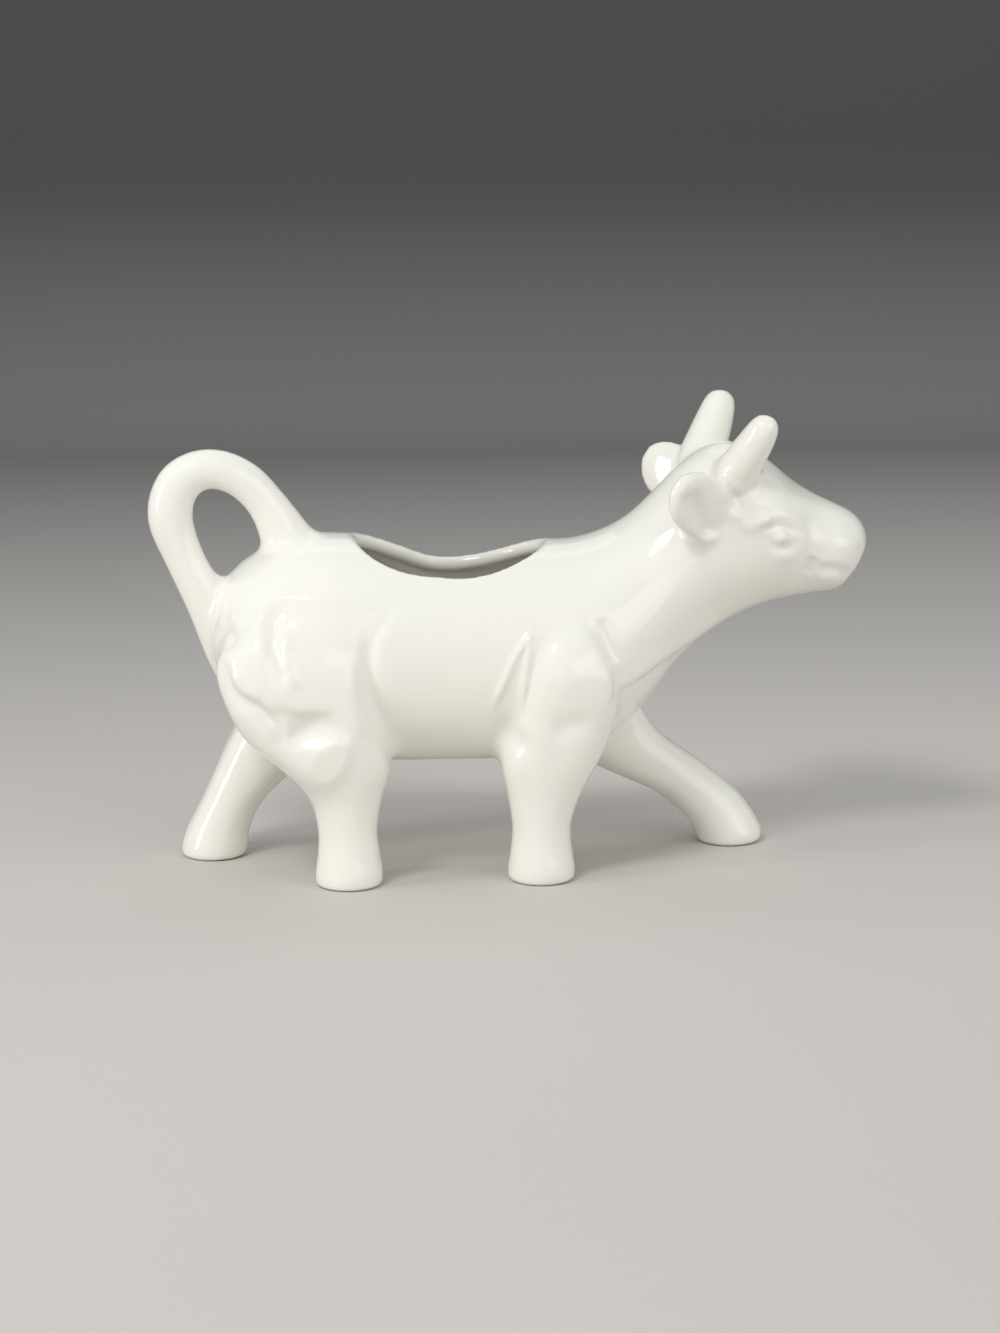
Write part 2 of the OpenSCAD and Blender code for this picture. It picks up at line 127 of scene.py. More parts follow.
def smooth_rows(rows, steps):
    """The whole table, with the given number of steps from each row to the next."""
    return [smooth_row(rows, i / steps) for i in range(steps * (len(rows) - 1) + 1)]


print("A smooth run through 0, 1 and 4:", smooth_rows([(0,), (1,), (4,)], 2))

# %% Extrude one section after another
def tube(sections, segments, start=None):
    """A closed tube. Each section is a function from a point of the unit circle to a place."""
    bm = bmesh.new()
    turn = bm.verts.layers.float.new("turn")
    ring = bmesh.ops.create_circle(bm, segments=segments, radius=1)["verts"]
    for vert in ring:
        vert[turn] = math.atan2(vert.co.y, vert.co.x)
    rings = [ring]
    for section in sections[1:]:
        inside = set(ring)
        touching = {edge for vert in ring for edge in vert.link_edges}
        edges = [edge for edge in touching if all(vert in inside for vert in edge.verts)]
        made = bmesh.ops.extrude_edge_only(bm, edges=edges)["geom"]
        ring = [g for g in made if isinstance(g, bmesh.types.BMVert)]
        rings.append(ring)
    for ring, section in zip(rings, sections):
        for vert in ring:
            vert.co = section(math.cos(vert[turn]), math.sin(vert[turn]))
    caps = bmesh.ops.holes_fill(bm, edges=[e for e in bm.edges if e.is_boundary])["faces"]
    if start is not None:
        middle = bmesh.ops.poke(bm, faces=[caps[0]])["verts"][0]
        middle.co = start
    bmesh.ops.recalc_face_normals(bm, faces=bm.faces)
    return bm


def grown(bm, amount):
    """A copy of a closed shape whose skin lies further out, or further in below zero."""
    copy = bm.copy()
    copy.normal_update()
    for vert, normal in [(v, v.normal.copy()) for v in copy.verts]:
        vert.co += normal * amount
    return copy


def mirrored(bm):
    """The same shape for the cow's right side."""
    copy = bm.copy()
    bmesh.ops.scale(copy, vec=(1, -1, 1), verts=copy.verts)
    bmesh.ops.reverse_faces(copy, faces=copy.faces)
    return copy


# %% [markdown]
# ## Trunk, neck and head
# The trunk and the head are thin slip-cast shells. They could be two shapes that are joined at the
# withers, but then the line of the back would break there. So their outside is one run of sections from
# the rump to the mouth, with the CAD model's own sections, and the joint is cut later.

# %% Measures of the body, in millimetres
WALL = 3.0
barrel_l, barrel_w, barrel_h, belly_z = 80.0, 49.0, 53.4, 25.8
fill_l, fill_w = 44.8, 34.0
neck_reach, neck_rise, head_l, head_h, head_w = 36.0, 21.6, 37.0, 41.0, 32.0
spout_w, spout_h = 8.6, 7.0
loop_back, loop_rise, tail_d, tail_w = 13.4, 19.4, 10.4, 9.4

# Places as shares of the trunk's and the head's length and height
FILL_PLACE, WITHERS_RISE, RUMP_END_RISE = 0.6925, 0.955, 0.585
THROAT_PLACE, MOUTH_PLACE, MOUTH_DROP = 0.11, 0.911, 0.695
rump_x = loop_back - (loop_back + barrel_l + neck_reach + head_l) / 2
fill_x = rump_x + FILL_PLACE * barrel_l
withers = (rump_x + barrel_l, belly_z + WITHERS_RISE * barrel_h)
poll = (withers[0] + neck_reach, withers[1] + neck_rise)
throat = (poll[0] + THROAT_PLACE * head_l, poll[1] - head_h)
mouth = Vector((poll[0] + MOUTH_PLACE * head_l, 0, poll[1] - MOUTH_DROP * head_h))
mouth_up = Vector((0.5, 0, 0.87)).normalized()
mouth_out = Vector((0.87, 0, -0.5)).normalized()
rump_end = Vector((rump_x, 0, belly_z + RUMP_END_RISE * barrel_h))
print("Withers at", withers, "poll at", poll, "mouth at", tuple(mouth))

# %% Sections of the body
# Each row, in shares of the measures above: the outline's top point along and up, its bottom point
# along and up, the width, and the egg, over zero where the section is wider near its top. On the back
# one place along does for both points, and the trunk has no egg.
rump_rows = [(0.0125, 0.687, 0.010, 0.472, 0.306), (0.0475, 0.796, 0.044, 0.331, 0.551),
             (0.1125, 0.893, 0.106, 0.182, 0.776), (0.218, 0.968, 0.218, 0.060, 0.930),
             (0.323, 0.997, 0.323, 0.010, 0.995)]
back_rows = [(-0.5, 0.994, 0.006, 1.000), (-0.25, 0.981, 0.002, 0.992), (0, 0.970, 0, 0.984),
             (0.25, 0.961, -0.002, 0.980), (0.5, 0.955, 0.002, 0.976)]
neck_rows = [(0.125, 0.009, 0.205, 0.070, 0.141, 0), (0.306, 0.093, 0.400, 0.240, 0.365, -0.03),
             (0.472, 0.241, 0.550, 0.462, 0.682, -0.05), (0.633, 0.486, 0.680, 0.672, 0.906, -0.04),
             (0.797, 0.773, 0.828, 0.850, 1.020, 0), (1, 1, 1, 1, 1.060, 0.06)]
head_rows = [(0.176, -0.005, 0.270, 0.932, 1, 0.12), (0.351, 0.083, 0.405, 0.893, 0.975, 0.12),
             (0.514, 0.205, 0.535, 0.871, 0.838, 0.08), (0.662, 0.288, 0.650, 0.856, 0.715, 0.04),
             (0.797, 0.346, 0.745, 0.846, 0.700, 0), (0.908, 0.398, 0.800, 0.838, 0.640, 0),
             (0.981, 0.473, 0.832, 0.820, 0.510, 0), (0.998, 0.552, 0.853, 0.797, 0.375, 0)]
body_rows = (
    [(rump_x + a * barrel_l, belly_z + b * barrel_h, rump_x + c * barrel_l, belly_z + d * barrel_h,
      w * barrel_w / 2, 0) for a, b, c, d, w in rump_rows]
    + [(fill_x + a * fill_l, belly_z + b * barrel_h, fill_x + a * fill_l, belly_z + d * barrel_h,
        w * barrel_w / 2, 0) for a, b, d, w in back_rows]
    + [(withers[0] + a * neck_reach, withers[1] + b * neck_rise, mix(withers[0], throat[0], c),
        mix(belly_z, throat[1], d), mix(barrel_w, head_w, w) / 2, egg)
       for a, b, c, d, w, egg in neck_rows]
    + [(poll[0] + a * head_l, poll[1] - b * head_h, poll[0] + c * head_l, poll[1] - d * head_h,
        w * head_w / 2, egg) for a, b, c, d, w, egg in head_rows]
    + [(*(mouth + mouth_up * spout_h / 2).xz, *(mouth - mouth_up * spout_h / 2).xz, spout_w / 2, 0)]
)
NECK_JOINT_ROW = 3
JOINT_PLACE = len(rump_rows) + len(back_rows) - 1 + NECK_JOINT_ROW


def upright(row):
    """A section through a top point and a bottom point of the outline, with a half width."""
    top_x, top_z, low_x, low_z, half, egg = row

    def place(u, v):
        up = (1 + u) / 2
        return Vector((mix(low_x, top_x, up), half * v * (1 + egg * u), mix(low_z, top_z, up)))
    return place


BODY_SEGMENTS, LEG_SEGMENTS, FINE_SEGMENTS = 96, 48, 40
body = tube([upright(row) for row in smooth_rows(body_rows, 4)], BODY_SEGMENTS, start=rump_end)
print("Body outside:", len(body.verts), "points")

# %% [markdown]
# ## Legs
# Each leg is pressed solid, with the whole haunch or shoulder muscle on top of it. Four legs could be
# modelled one by one, but the two of a pair come from the same mould and differ only in their stance.
# So one table makes both, and a step moves each section forward or back. The muscle's section is a
# rounded square, the shin is round, and the hoof flares out.

# %% Sections of the legs
haunch_l, shoulder_l, muscle_t, leg_d, hoof_d, stance_w = 35.6, 25.0, 20.4, 13.6, 15.6, 31.0
HIP_RISE, HIP_PLACE, SHOULDER_PLACE = 0.75, 0.219, 1.019
hip_z = belly_z + HIP_RISE * barrel_h
hip_x = rump_x + HIP_PLACE * barrel_l
shoulder_x = rump_x + SHOULDER_PLACE * barrel_l

# Each row, in shares: the height, how much of the muscle's length and thickness there is over the
# shin's, how much of the hoof, and how far the section stands out
shin_and_hoof = [(0.197, 0, 0, 0, 0), (0.106, 0.010, 0.02, 0.3, 0), (0.038, 0, 0, 1, 0),
                 (0, 0, 0, 0.75, 0)]
haunch_rows = [(0.985, -0.08, -1.19, 0, -0.071), (0.925, 0.66, 0.30, 0, -0.020),
               (0.800, 1, 0.88, 0, 0.014), (0.653, 0.94, 1, 0, 0.020), (0.516, 0.72, 0.88, 0, 0.014),
               (0.410, 0.42, 0.62, 0, 0.008), (0.304, 0.124, 0.19, 0, 0.002)] + shin_and_hoof
shoulder_rows = [(0.985, -0.14, -1.15, 0, -0.080), (0.925, 0.29, 0.32, 0, -0.030),
                 (0.805, 0.82, 0.88, 0, 0.002), (0.668, 1, 1, 0, 0.010), (0.531, 0.80, 0.75, 0, 0.010),
                 (0.417, 0.70, 0.50, 0, 0.006), (0.304, 0.28, 0.15, 0, 0.002)] + shin_and_hoof
# Each leg: its table, the muscle's length, where it hangs, how much longer its level sections get as
# it leans, how far it steps, and how much of the step it has taken on the way down
legs = {
    "foreleg_left": (shoulder_rows, shoulder_l, shoulder_x, 0.75, 43.0,
                     (0.05, 0.03, 0.02, 0.05, 0.19, 0.28, 0.53, 0.80, 0.94, 1, 1)),
    "foreleg_right": (shoulder_rows, shoulder_l, shoulder_x, 0.75, -6.5,
                      (0, 0, 0, 0.08, 0.38, 0.72, 0.92, 1, 1, 1, 1)),
    "hindleg_left": (haunch_rows, haunch_l, hip_x, 0.5, -17.0,
                     (-0.28, -0.19, -0.10, -0.25, -0.26, 0.03, 0.43, 0.74, 0.92, 0.98, 1)),
    "hindleg_right": (haunch_rows, haunch_l, hip_x, 0.5, 13.2,
                      (0.36, 0.25, 0.12, 0.22, 0.46, 0.80, 0.95, 0.98, 1, 1, 1)),
}
MUSCLE_SQUARE = 0.66
print("Hips at x", hip_x, "and shoulders at x", shoulder_x)

# %% Press the legs


def leg_rows(rows, muscle_l, x, lean_power, step, taken):
    """Centre x, centre y, height, half length, half thickness and squareness of each section."""
    made = []
    for k, row in enumerate(rows):
        above, below = max(k - 1, 0), min(k + 1, len(rows) - 1)
        run = step * (taken[below] - taken[above])
        drop = hip_z * (rows[above][0] - rows[below][0])
        lean = (math.hypot(run, drop) / drop) ** lean_power
        hoof = row[3] * (hoof_d - leg_d) / 2
        half_l = lean * mix(leg_d, muscle_l, row[1]) / 2 + hoof
        half_t = mix(leg_d, muscle_t, row[2]) / 2 + hoof
        made.append((x + step * taken[k], stance_w / 2 + row[4] * barrel_w, hip_z * row[0],
                     half_l, half_t, mix(1, MUSCLE_SQUARE, max(0, row[2]))))
    return made


def level(row):
    """A flat section with rounded corners."""
    x, y, z, half_l, half_t, square = row

    def place(u, v):
        return Vector((x + half_l * math.copysign(abs(u) ** square, u),
                       y + half_t * math.copysign(abs(v) ** square, v), z))
    return place


clay = {}
leg_middles = {}
for name, shape in legs.items():
    table = leg_rows(*shape)
    leg_middles[name] = np.array([(row[2], row[0]) for row in reversed(table)])
    leg = tube([level(row) for row in smooth_rows(table, 4)], LEG_SEGMENTS)
    clay[name] = mirrored(leg) if name.endswith("right") else leg
print("Legs:", ", ".join(f"{name} {len(bm.verts)} points" for name, bm in clay.items()))

# %% [markdown]
# ## The tail
# The tail is a roll of clay, thick at the root, that bends over into a finger loop. A curve with a
# bevel makes such a roll in one go, but always with a round section, and a potter's thumb has pressed
# this one a little flat. So it is a tube too, whose sections stand across its path.

# %% A helper for sections across a path


def across_path(rows, facing, bend=0.0, edge=1.0):
    """Sections across a path. Each row: x, y, z, half width, half thickness and cup."""
    made = []
    for i, row in enumerate(rows):
        along = Vector(rows[min(i + 1, len(rows) - 1)][:3]) - Vector(rows[max(i - 1, 0)][:3])
        side = Vector(facing).cross(along).normalized()
        deep = side.cross(along).normalized()

        def place(u, v, row=row, side=side, deep=deep):
            u, v = (math.copysign(abs(share) ** edge, share) for share in (u, v))
            return Vector(row[:3]) + row[3] * u * side + (row[4] * v - bend * row[5] * u * u) * deep
        made.append(place)
    return made


# %% Roll the tail
# Each row: along and up, as shares of the loop's length and height, and the thickness
tail_rows = [(0.540, -0.156, 0.84), (0.432, 0, 0.88), (0.358, 0.121, 0.92), (0.247, 0.342, 0.94),
             (0.093, 0.575, 0.87), (0.001, 0.775, 0.99), (0.045, 0.925, 0.97), (0.175, 1.002, 0.90),
             (0.340, 1.010, 0.87), (0.508, 0.955, 0.86), (0.648, 0.850, 0.88), (0.762, 0.715, 1.10),
             (0.856, 0.560, 1.42), (0.95, 0.407, 1.5)]
TAIL_ROOT_PLACE, TAIL_LOW_RISE = 0.3125, 0.4
tail_back = rump_x - loop_back + tail_d / 2
tail_root = rump_x + TAIL_ROOT_PLACE * barrel_l
tail_low = belly_z + TAIL_LOW_RISE * barrel_h
tail_top = belly_z + barrel_h + loop_rise - tail_d / 2
tail_path = [(mix(tail_back, tail_root, a), 0, mix(tail_low, tail_top, b),
              d * tail_d / 2, d * tail_w / 2, 0) for a, b, d in tail_rows]
clay["tail_handle"] = tube(across_path(smooth_rows(tail_path, 8), (0, -1, 0)), FINE_SEGMENTS)
print("Tail:", len(clay["tail_handle"].verts), "points")

# %% [markdown]
# ## Horns and ears
# Horns are short blunt cones. Ears are thick leaves that bend round their hollow side. A cone and a
# bent disc would lack the swelling root and the cupped edge, so each has its own table. The left ones
# stand a little higher, as the maker's hand set them.

# %% Horns
horn_rise, horn_d, horn_span, horn_left_back, horn_left_extra = 8.2, 9.8, 40.0, 3.2, 2.1
HORN_ROOT_DROP, HORN_ROOT_BACK, HORN_THICKER_SHARE = 0.25, 1.2, 0.5
# Each row: along the head, out, up and thickness, as shares
horn_rows = [(0.060, 0.42, 0, 1.00), (0.097, 0.58, 0.24, 1.02), (0.151, 0.72, 0.47, 0.92),
             (0.202, 0.84, 0.68, 0.82), (0.241, 0.93, 0.86, 0.69), (0.258, 0.98, 0.95, 0.47),
             (0.265, 1, 1, 0.12)]
horn_low = poll[1] - HORN_ROOT_DROP * head_h


def horn(back, extra):
    """A horn for the left side, set back and made taller by so many millimetres."""
    thick = (horn_d + HORN_THICKER_SHARE * extra) / 2
    path = [(poll[0] + a * head_l - back * mix(HORN_ROOT_BACK, 1, c), b * horn_span / 2,
             mix(horn_low, poll[1] + horn_rise + extra, c), d * thick, d * thick, 0)
            for a, b, c, d in horn_rows]
    return tube(across_path(smooth_rows(path, 6), (1, 0, 0)), FINE_SEGMENTS)


clay["horn_left"] = horn(horn_left_back, horn_left_extra)
clay["horn_right"] = mirrored(horn(0, 0))
print("Horns:", len(clay["horn_left"].verts), "points each")

# %% Ears
ear_span, ear_w, ear_t, ear_cup, ear_left_up = 48.0, 14.2, 4.8, 0.6, 2.4
# An edge under 1 makes the ear's rim fuller
EAR_EDGE, EAR_FORWARD_SHARE, EAR_FACING = 0.7, 0.6, (0.64, 0.74, -0.2)
# Each row: along the head, out, down, width, thickness and cup, as shares
ear_rows = [(0.03, 0.44, 0.465, 0.64, 0.9, 0), (-0.043, 0.583, 0.402, 0.86, 1, 0.5),
            (-0.149, 0.729, 0.300, 1, 1, 1), (-0.243, 0.854, 0.235, 0.92, 0.9, 1),
            (-0.305, 0.950, 0.192, 0.62, 0.7, 0.5), (-0.334, 1, 0.174, 0.24, 0.35, 0)]


def ear(up):
    """An ear for the left side, whose tip stands so many millimetres higher."""
    path = [(poll[0] + a * head_l + EAR_FORWARD_SHARE * b * up, b * ear_span / 2,
             poll[1] - c * head_h + b * up, d * ear_w / 2, t * ear_t / 2, cup)
            for a, b, c, d, t, cup in ear_rows]
    return tube(across_path(smooth_rows(path, 6), EAR_FACING, ear_cup, EAR_EDGE), FINE_SEGMENTS)


clay["ear_left"] = ear(ear_left_up)
clay["ear_right"] = mirrored(ear(0))
print("Clay pieces:", ", ".join(clay))

# %% [markdown]
# ## Luting the pieces together
# Slip and a wet sponge turn every joint into a soft hollow curve. A bevel can't round the line where
# two free shapes meet, but a voxel remesh joins them into one skin. The skin is first blown up,
# remeshed and let down again, which fills the corners with slip and leaves the rest where it was.

# %% Helpers for the joined skin
VOXEL = 0.58


def as_object(name, *shapes):
    """One object from one or more bmeshes."""
    joined = bmesh.new()
    for bm in shapes:
        part = bpy.data.meshes.new(name)
        bm.to_mesh(part)
        joined.from_mesh(part)
        bpy.data.meshes.remove(part)
    mesh = bpy.data.meshes.new(name)
    joined.to_mesh(mesh)
    joined.free()
    return new_object(name, mesh)


def with_more(obj, *shapes):
    """Puts more shapes into an object, still loose from the rest."""
    joined = bmesh.new()
    joined.from_mesh(obj.data)
    name = obj.name
    bpy.data.objects.remove(obj)
    return as_object(name, joined, *shapes)


def applied(obj):
    """Applies all of an object's modifiers to its mesh."""
    bpy.context.view_layer.update()
    mesh = bpy.data.meshes.new_from_object(obj.evaluated_get(bpy.context.evaluated_depsgraph_get()))
    old = obj.data
    obj.modifiers.clear()
    obj.data = mesh
    bpy.data.meshes.remove(old)
    return obj


def add_remesh(obj, size):
    """Rebuilds the skin from small cubes of that size, which joins all that overlaps."""
    modifier = obj.modifiers.new("remesh", "REMESH")
    modifier.mode = "VOXEL"
    modifier.voxel_size = size
    modifier.adaptivity = 0
    modifier.use_smooth_shade = True


def add_swell(obj, amount):
    """Moves the skin outwards, or inwards below zero."""
    modifier = obj.modifiers.new("swell", "DISPLACE")
    modifier.mid_level = 0
    modifier.strength = amount


def luted(obj, fillet, size):
    """Joins an object's shapes and fills their corners with slip to about that radius."""
    add_remesh(obj, size)
    for amount in (fillet, -fillet):
        add_swell(obj, amount)
        add_remesh(obj, size)
    return applied(obj)


# %% Join the limbs to the trunk, then the fine pieces
LEG_FILLET, FINE_FILLET = 2.4, 1.5
skin = luted(as_object("skin", body, *(clay[name] for name in legs)), LEG_FILLET, VOXEL)
fine = [clay[name] for name in clay if name not in legs]
skin = luted(with_more(skin, *fine), FINE_FILLET, VOXEL)
print("Joined skin:", len(skin.data.vertices), "points")

# %% [markdown]
# ## The hollow
# Slip casting leaves the jug hollow with an even wall, and the potter cuts the filling opening and the
# mouth with a knife. A Solidify modifier gives a wall too, but not round two sloping openings, so the
# hollow is the body's own shape, one wall smaller. Two plugs reach out of it, an oval one through the
# back and a small one through the mouth, and a Boolean takes all three away.

# %% The outline of the filling opening
BEAD, BEAD_TALL = WALL / 2, 1.75
LEFT_CORNER, RIGHT_CORNER, CORNER_SHARE = 1.6, 3, 0.4


def opening_edge(angle, grow):
    """An ellipse in front. Behind, its right corner is squarer and its left one slighter."""
    u, v = math.cos(angle), math.sin(angle)
    corner = LEFT_CORNER if v > 0 else RIGHT_CORNER
    power = mix(2, corner, min(1, max(0, -u) / CORNER_SHARE))
    half = fill_w / 2 * max(0, 1 - abs(u) ** power) ** (1 / power)
    return Vector((fill_x + (fill_l / 2 + grow) * u, math.copysign(half, v) + grow * v, 0))


print("The opening runs from x", opening_edge(math.pi, 0).x, "to", opening_edge(0, 0).x)

# %% The hollow and its two plugs
PLUG_LEVELS, PLUG_WIDER = (62.0, 70.0, 82.0, 90.0), 0.4 * BEAD
# How far out of the mouth each ring of the plug lies, and how much wider than the mouth it is
SPOUT_RINGS = ((-9, -1.2), (-4, -1.0), (1, -0.9), (6, 0))
CUTTER_VOXEL = 0.6


def opening_section(z):
    """A level ring of the back's plug."""
    return lambda u, v: opening_edge(math.atan2(v, u), PLUG_WIDER) + Vector((0, 0, z))


def spout_ring(along, grow):
    """A ring of the mouth's plug."""
    middle = mouth + mouth_out * along
    return lambda u, v: (middle + mouth_up * (spout_h / 2 + grow) * u
                         + Vector((0, (spout_w / 2 + grow) * v, 0)))


def boolean(obj, tool, operation):
    """Cuts an object with a tool, or keeps what they share."""
    modifier = obj.modifiers.new("cut", "BOOLEAN")
    modifier.operation = operation
    modifier.solver = "MANIFOLD"
    modifier.object = tool
    return applied(obj)


hollow = grown(body, -WALL)
opening_plug = tube([opening_section(z) for z in PLUG_LEVELS], BODY_SEGMENTS)
spout_plug = tube([spout_ring(*ring) for ring in SPOUT_RINGS], LEG_SEGMENTS)
cutter = as_object("cutter", hollow, opening_plug, spout_plug)
add_remesh(cutter, CUTTER_VOXEL)
applied(cutter)
boolean(skin, cutter, "DIFFERENCE")
bpy.data.objects.remove(cutter)
print("Cut skin:", len(skin.data.vertices), "points")

# %% [markdown]
# ## The rim of the opening
# The potter rounds the cut edge of the back with a wet finger, which leaves a full lip. A bevel would
# do that, but a voxel remesh can't hold the sharp edge that it needs. So the cut is a little too wide,
# and a bead as thick as the wall is laid round it.

# %% Lay the bead
HIGH_ABOVE, BEAD_OUT = 120, 0.3 * BEAD


def bead_sections(turns):
    """Rings of the bead, whose top touches the outside of the body at the opening's edge."""
    surface = BVHTree.FromBMesh(body)
    middles = []
    for k in range(turns):
        edge = opening_edge(2 * math.pi * k / turns, 0)
        hit, normal, _, _ = surface.ray_cast(edge + Vector((0, 0, HIGH_ABOVE)), Vector((0, 0, -1)))
        outwards = (opening_edge(2 * math.pi * k / turns, 1) - edge).normalized()
        middles.append(hit - BEAD_TALL * normal + BEAD_OUT * outwards)
    rings = []
    for k in range(-1, turns + 2):
        here, ahead, behind = (middles[i % turns] for i in (k, k + 1, k - 1))
        side = (ahead - behind).cross(Vector((0, 0, 1))).normalized()
        up = side.cross(ahead - behind).normalized()
        rings.append(lambda u, v, here=here, side=side, up=up:
                     here + BEAD * u * side + BEAD_TALL * v * up)
    return rings


skin = with_more(skin, tube(bead_sections(BODY_SEGMENTS), FINE_SEGMENTS // 2))
add_remesh(skin, VOXEL)
applied(skin)
print("Hollowed skin:", len(skin.data.vertices), "points")

# %% [markdown]
# ## Sponging the clay
# The remeshed skin still has a faint grid in it, which a glossy glaze would show. A Smooth modifier
# takes it away, but thins the horns and the tail too. Here each point moves towards the middle of its
# neighbours, and every second step moves it back a little. The cut lips and the tail's root get more.

# %% Read the skin's points and make a sponge
skin_mesh = skin.data
point_count = len(skin_mesh.vertices)
co = np.empty(point_count * 3)
skin_mesh.vertices.foreach_get("co", co)
co = co.reshape(-1, 3)
edge_ends = np.empty(len(skin_mesh.edges) * 2, int)
skin_mesh.edges.foreach_get("vertices", edge_ends)
edge_ends = edge_ends.reshape(-1, 2)
neighbour_count = np.bincount(edge_ends.ravel(), minlength=point_count)
PRESS, PULL_BACK = 0.5, 0.53


def neighbour_mean(values):
    """The middle of each point's neighbours."""
    first, second = edge_ends[:, 0], edge_ends[:, 1]
    total = np.zeros_like(values)
    for axis in range(values.shape[1]):
        total[:, axis] = (
            np.bincount(first, weights=values[second, axis], minlength=point_count)
            + np.bincount(second, weights=values[first, axis], minlength=point_count))
    return total / neighbour_count[:, None]


def sponge(co, strokes, keep_size=True, where=None):
    """Smooths points. With keep_size each stroke is followed by one back."""
    weight = 1 if where is None else where[:, None]
    for _ in range(strokes):
        co = co + PRESS * weight * (neighbour_mean(co) - co)
        if keep_size:
            co = co - PULL_BACK * weight * (neighbour_mean(co) - co)
    return co


def falloff(distance, width):
    """One at no distance, and fading softly to zero beyond the width."""
    return np.exp(-(distance / width) ** 2)


co = sponge(co, 12)
print("Sponged", point_count, "points")

# %% Round the lip of the opening, the mouth and the tail's root
LIP_OUT, LIP_WIDTH, LIP_LOWEST = 0.7 * BEAD, 3.0, 60
MOUTH_RADIUS, MOUTH_WIDTH, MOUTH_DEPTH = 3, 2.0, 3.0
TAIL_ROOT, TAIL_ROOT_WIDTH, TAIL_ROOT_WEIGHT = (-49.0, 0.0, 79.5), 9.0, 0.9
lip_distance = np.full(point_count, np.inf)
for angle in np.linspace(0, 2 * math.pi, 180):
    lip = opening_edge(angle, LIP_OUT)
    lip_distance = np.minimum(lip_distance, np.hypot(co[:, 0] - lip.x, co[:, 1] - lip.y))
near_lip = falloff(lip_distance, LIP_WIDTH) * (co[:, 2] > LIP_LOWEST)
mouth_axis = np.array(mouth_out)
from_mouth = co - np.array(mouth)
along_mouth = from_mouth @ mouth_axis
mouth_distance = np.linalg.norm(from_mouth - along_mouth[:, None] * mouth_axis, axis=1)
near_mouth = falloff(np.maximum(0, mouth_distance - MOUTH_RADIUS), MOUTH_WIDTH)
near_mouth = near_mouth * falloff(along_mouth, MOUTH_DEPTH)
co = sponge(co, 30, where=near_lip)
co = sponge(co, 3, keep_size=False, where=near_lip)
co = sponge(co, 6, keep_size=False, where=near_mouth)
tail_distance = np.linalg.norm(co - np.array(TAIL_ROOT), axis=1)
co = sponge(co, 60, keep_size=False, where=TAIL_ROOT_WEIGHT * falloff(tail_distance, TAIL_ROOT_WIDTH))
print("Points on the lip:", (near_lip > 0.5).sum(), "and at the mouth:", (near_mouth > 0.5).sum())

# %% [markdown]
# ## Modelling the muscles and the face
# With the joints soft, the modeller works the surface with a boxwood tool: ridges, grooves and creases
# on haunch and shoulder, and the eyes, brows, muzzle and lips on the face. A bump in the glaze would be
# quicker, but it has no outline and is lost in a mesh file. So each stroke is drawn on the photograph,
# where the tool marks can be seen, and moves the skin under it in or out. The hidden flank gets the
# same strokes, moved along with its own legs.

# %% Lay the far flank over the near one
FORE_FROM_HIND = -8
FACING_FROM, FACING_FULL = 0.05, 0.4


def point_normals(co):
    """Puts the points back into the skin, and gives the way that each one faces."""
    skin_mesh.vertices.foreach_set("co", co.ravel())
    skin_mesh.update()
    normals = np.empty(point_count * 3)
    skin_mesh.vertices.foreach_get("normal", normals)
    return normals.reshape(-1, 3)


def smoothstep(low, high, value):
    """Zero up to low, one from high on, and an even S between them."""
    t = np.clip((value - low) / (high - low), 0, 1)
    return t * t * (3 - 2 * t)


def near_view(co):
    """Each point as on the near flank: the far one is mirrored, and its legs' steps are undone."""
    seen = co.copy()
    far = co[:, 1] > 0
    seen[far, 1] *= -1
    for near_leg, far_leg, zone in (("hindleg_right", "hindleg_left", co[:, 0] < FORE_FROM_HIND),
                                    ("foreleg_right", "foreleg_left", co[:, 0] > FORE_FROM_HIND)):
        pick = far & zone
        near_x, far_x = (np.interp(co[pick, 2], *leg_middles[leg].T) for leg in (near_leg, far_leg))
        seen[pick, 0] += near_x - far_x
    return seen


places = photo_places(near_view(co))
side_normal = point_normals(co)[:, 1] * np.where(co[:, 1] > 0, 1, -1)
facing = smoothstep(FACING_FROM, FACING_FULL, side_normal)
print("Points that face a side:", (facing > 0.5).sum())

# %% A tool for strokes on the surface


def worked(path, reach, height_at):
    """The height of a stroke at every point. height_at gets a point's distance from the stroke in
    pixels, its side, which is 1 on the right and -1 on the left, and its share of the way."""
    steps = 8 * (len(path) - 1)
    line = [smooth_row(path, i / 8) for i in range(steps + 1)] if steps else [path[0], path[0]]
    line = np.array(line, float)
    line[-1] += 1e-6
    inside = ((places > line.min(0) - reach) & (places < line.max(0) + reach)).all(axis=1)
    near = np.flatnonzero(inside & (facing > 0))
    spots = places[near]
    best = np.full(len(near), 1e9)
    side = np.zeros(len(near))
    share = np.zeros(len(near))
    for i in range(len(line) - 1):
        a, run = line[i], line[i + 1] - line[i]
        t = np.clip(((spots - a) @ run) / (run @ run), 0, 1)
        off = spots - (a + t[:, None] * run)
        distance = np.hypot(off[:, 0], off[:, 1])
        closer = distance < best
        best = np.where(closer, distance, best)
        side = np.where(closer, np.sign(run[0] * off[:, 1] - run[1] * off[:, 0]), side)
        share = np.where(closer, (i + t) / (len(line) - 1), share)
    height = np.zeros(len(places))
    height[near] = height_at(best, side, share)
    return height


def ends(share, fade):
    """Lets a stroke fade in and out over that share of its way."""
    return smoothstep(0, fade, share) * smoothstep(0, fade, 1 - share) if fade else 1.0


def ridge(path, height, width, fade=0.25, power=2):
    """Raises the clay along a stroke or round a spot. A height below zero presses it in."""
    fade = fade if len(path) > 1 else 0
    return worked(path, 3 * width, lambda distance, side, share:
                  height * np.exp(-(distance / width) ** power) * ends(share, fade))


